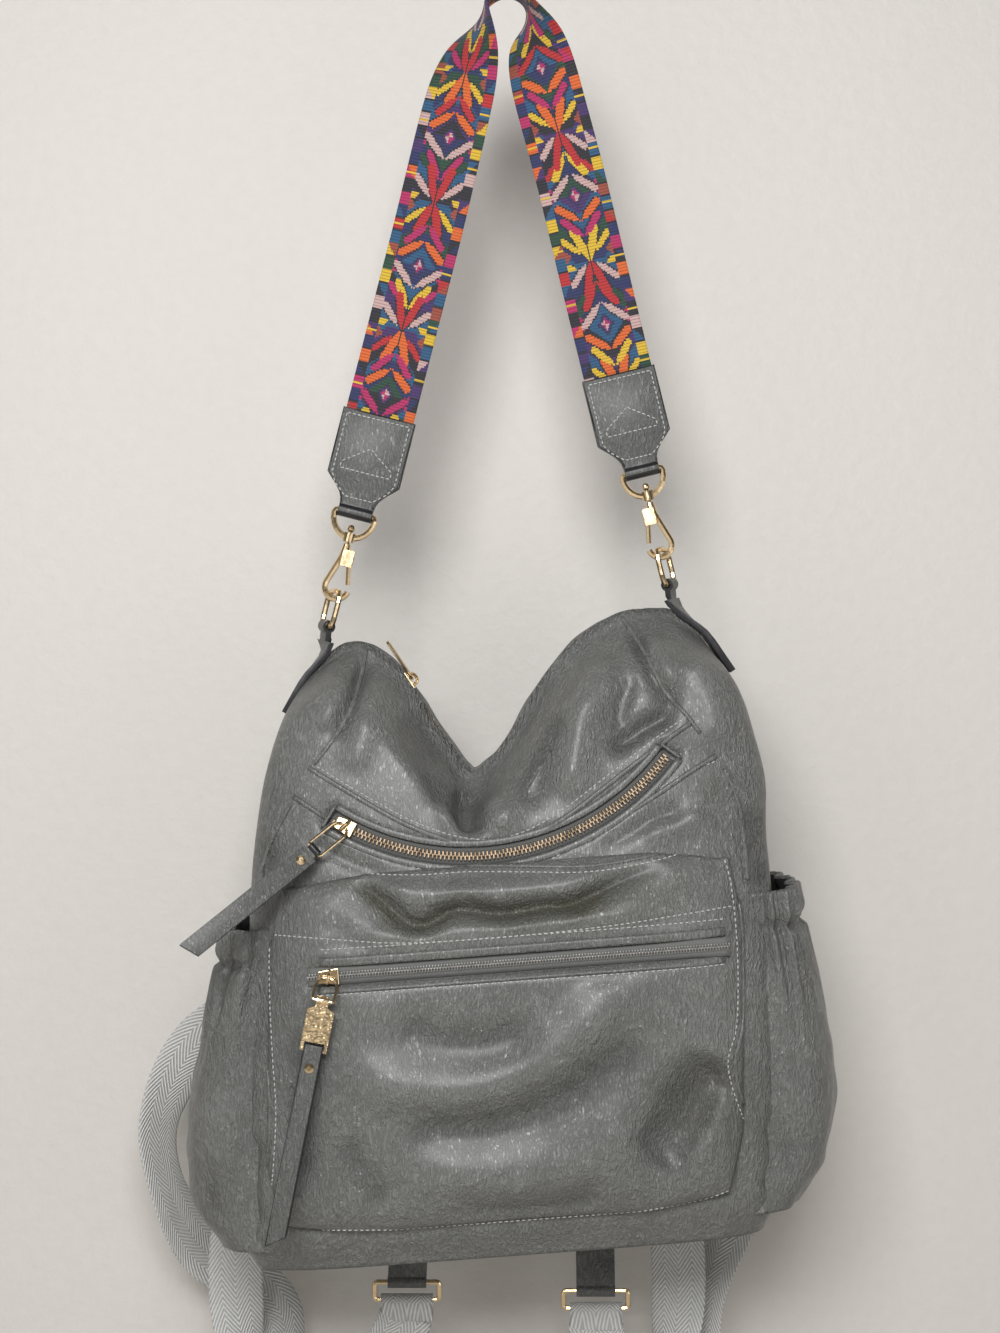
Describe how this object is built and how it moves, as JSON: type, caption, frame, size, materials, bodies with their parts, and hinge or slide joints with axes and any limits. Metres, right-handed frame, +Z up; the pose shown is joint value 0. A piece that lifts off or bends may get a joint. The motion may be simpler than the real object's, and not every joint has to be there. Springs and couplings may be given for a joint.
{
  "type": "convertible backpack",
  "caption": "Slouched soft bag worn on the back or shoulder, with zipped front pockets, open side pockets, a clip-on patterned strap and webbing backpack straps.",
  "frame": {"origin": "hang point, on the underside of the shoulder strap's top bend", "axes": "+Z up along the hanging bag, +X to the right seen from the front, -Y out of the front"},
  "size_m": [0.3861, 0.204, 0.7849],
  "materials": {
    "grey_leather": "satin",
    "gold_metal": "polished",
    "silver_metal": "satin",
    "patterned_webbing": "woven",
    "grey_webbing": "woven"
  },
  "bodies": {
    "bag": {"bag_body": "grey_leather", "front_pocket": "grey_leather", "side_pocket_left": "grey_leather", "side_pocket_right": "grey_leather", "end_tab_left": "grey_leather", "end_tab_right": "grey_leather", "side_tab_left": "grey_leather", "side_tab_right": "grey_leather", "strap_patch_left": "grey_leather", "strap_patch_right": "grey_leather", "base_anchor_left": "grey_leather", "base_anchor_right": "grey_leather", "front_zip_chain": "gold_metal", "top_zip_chain": "gold_metal", "base_ring_left": "gold_metal", "base_ring_right": "gold_metal", "pocket_zip_chain": "silver_metal", "shoulder_strap": "patterned_webbing", "backpack_strap_left": "grey_webbing", "backpack_strap_right": "grey_webbing", "strap_tail_left": "grey_webbing", "strap_tail_right": "grey_webbing"},
    "front_slider": {"front_zip_slider": "gold_metal"},
    "front_pull": {"front_zip_pull": "gold_metal", "front_pull_strap": "grey_leather", "front_pull_rivet": "gold_metal"},
    "pocket_slider": {"pocket_zip_slider": "gold_metal"},
    "pocket_bail": {"pocket_zip_bail": "gold_metal"},
    "pocket_plate": {"pocket_pull_plate": "gold_metal", "pocket_pull_strap": "grey_leather", "pocket_pull_rivet": "gold_metal"},
    "top_slider": {"top_zip_slider": "gold_metal"},
    "top_pull": {"top_zip_pull": "gold_metal"},
    "oval_ring_left": {"oval_ring_left": "gold_metal"},
    "d_ring_left": {"d_ring_left": "gold_metal"},
    "hook_left": {"snap_hook_left": "gold_metal"},
    "gate_left": {"snap_gate_left": "gold_metal"},
    "oval_ring_right": {"oval_ring_right": "gold_metal"},
    "d_ring_right": {"d_ring_right": "gold_metal"},
    "hook_right": {"snap_hook_right": "gold_metal"},
    "gate_right": {"snap_gate_right": "gold_metal"}
  },
  "joints": [
    {"name": "front_zip_slide", "type": "hinge", "parent": "bag", "child": "front_slider", "pos_m": [-0.022, -0.0326, -0.338], "axis": [-0.0121, -0.9867, 0.1618], "range_deg": [0, 78]},
    {"name": "front_pull_lift", "type": "hinge", "parent": "front_slider", "child": "front_pull", "pos_m": [-0.08426, -0.05602, -0.45214], "axis": [-0.6598, 0.1295, 0.7402], "range_deg": [0, 70]},
    {"name": "pocket_zip_slide", "type": "slide", "parent": "bag", "child": "pocket_slider", "axis": [0.9972, 0, 0.0748], "range_m": [0, 0.198]},
    {"name": "pocket_bail_lift", "type": "hinge", "parent": "pocket_slider", "child": "pocket_bail", "pos_m": [-0.09103, -0.0749, -0.52783], "axis": [-0.9816, 0, 0.1908], "range_deg": [0, 75]},
    {"name": "pocket_plate_lift", "type": "hinge", "parent": "pocket_bail", "child": "pocket_plate", "pos_m": [-0.09306, -0.08321, -0.53827], "axis": [-0.9816, 0, 0.1908], "range_deg": [0, 60]},
    {"name": "top_zip_slide", "type": "slide", "parent": "bag", "child": "top_slider", "axis": [0.5596, 0, -0.8288], "range_m": [0, 0.045]},
    {"name": "top_pull_lift", "type": "hinge", "parent": "top_slider", "child": "top_pull", "pos_m": [-0.05153, 0, -0.37645], "axis": [0, 1, 0], "range_deg": [0, 110]},
    {"name": "oval_ring_swing_left", "type": "hinge", "parent": "bag", "child": "oval_ring_left", "pos_m": [-0.09831, 0, -0.34784], "axis": [-0.4097, 0.9063, 0.1037], "range_deg": [-1.5, 1.5]},
    {"name": "d_ring_swing_left", "type": "hinge", "parent": "bag", "child": "d_ring_left", "pos_m": [-0.08267, 0, -0.28603], "axis": [0.9694, 0, -0.2453], "range_deg": [-1.5, 1.5]},
    {"name": "hook_swivel_left", "type": "hinge", "parent": "d_ring_left", "child": "hook_left", "pos_m": [-0.0861, 0, -0.29961], "axis": [0.2453, 0, 0.9694], "range_deg": [-10, 10]},
    {"name": "gate_open_left", "type": "hinge", "parent": "hook_left", "child": "gate_left", "pos_m": [-0.08636, 0, -0.31367], "axis": [0, 1, 0], "range_deg": [0, 18], "stiffness_Nm_per_rad": 0.01},
    {"name": "oval_ring_swing_right", "type": "hinge", "parent": "bag", "child": "oval_ring_right", "pos_m": [0.08871, 0, -0.32514], "axis": [0.4104, 0.9063, 0.1008], "range_deg": [-1.5, 1.5]},
    {"name": "d_ring_swing_right", "type": "hinge", "parent": "bag", "child": "d_ring_right", "pos_m": [0.0735, 0, -0.26323], "axis": [0.9711, 0, 0.2385], "range_deg": [-1.5, 1.5]},
    {"name": "hook_swivel_right", "type": "hinge", "parent": "d_ring_right", "child": "hook_right", "pos_m": [0.07684, 0, -0.27682], "axis": [-0.2385, 0, 0.9711], "range_deg": [-10, 10]},
    {"name": "gate_open_right", "type": "hinge", "parent": "hook_right", "child": "gate_right", "pos_m": [0.077, 0, -0.29089], "axis": [0, -1, 0], "range_deg": [0, 18], "stiffness_Nm_per_rad": 0.01}
  ]
}
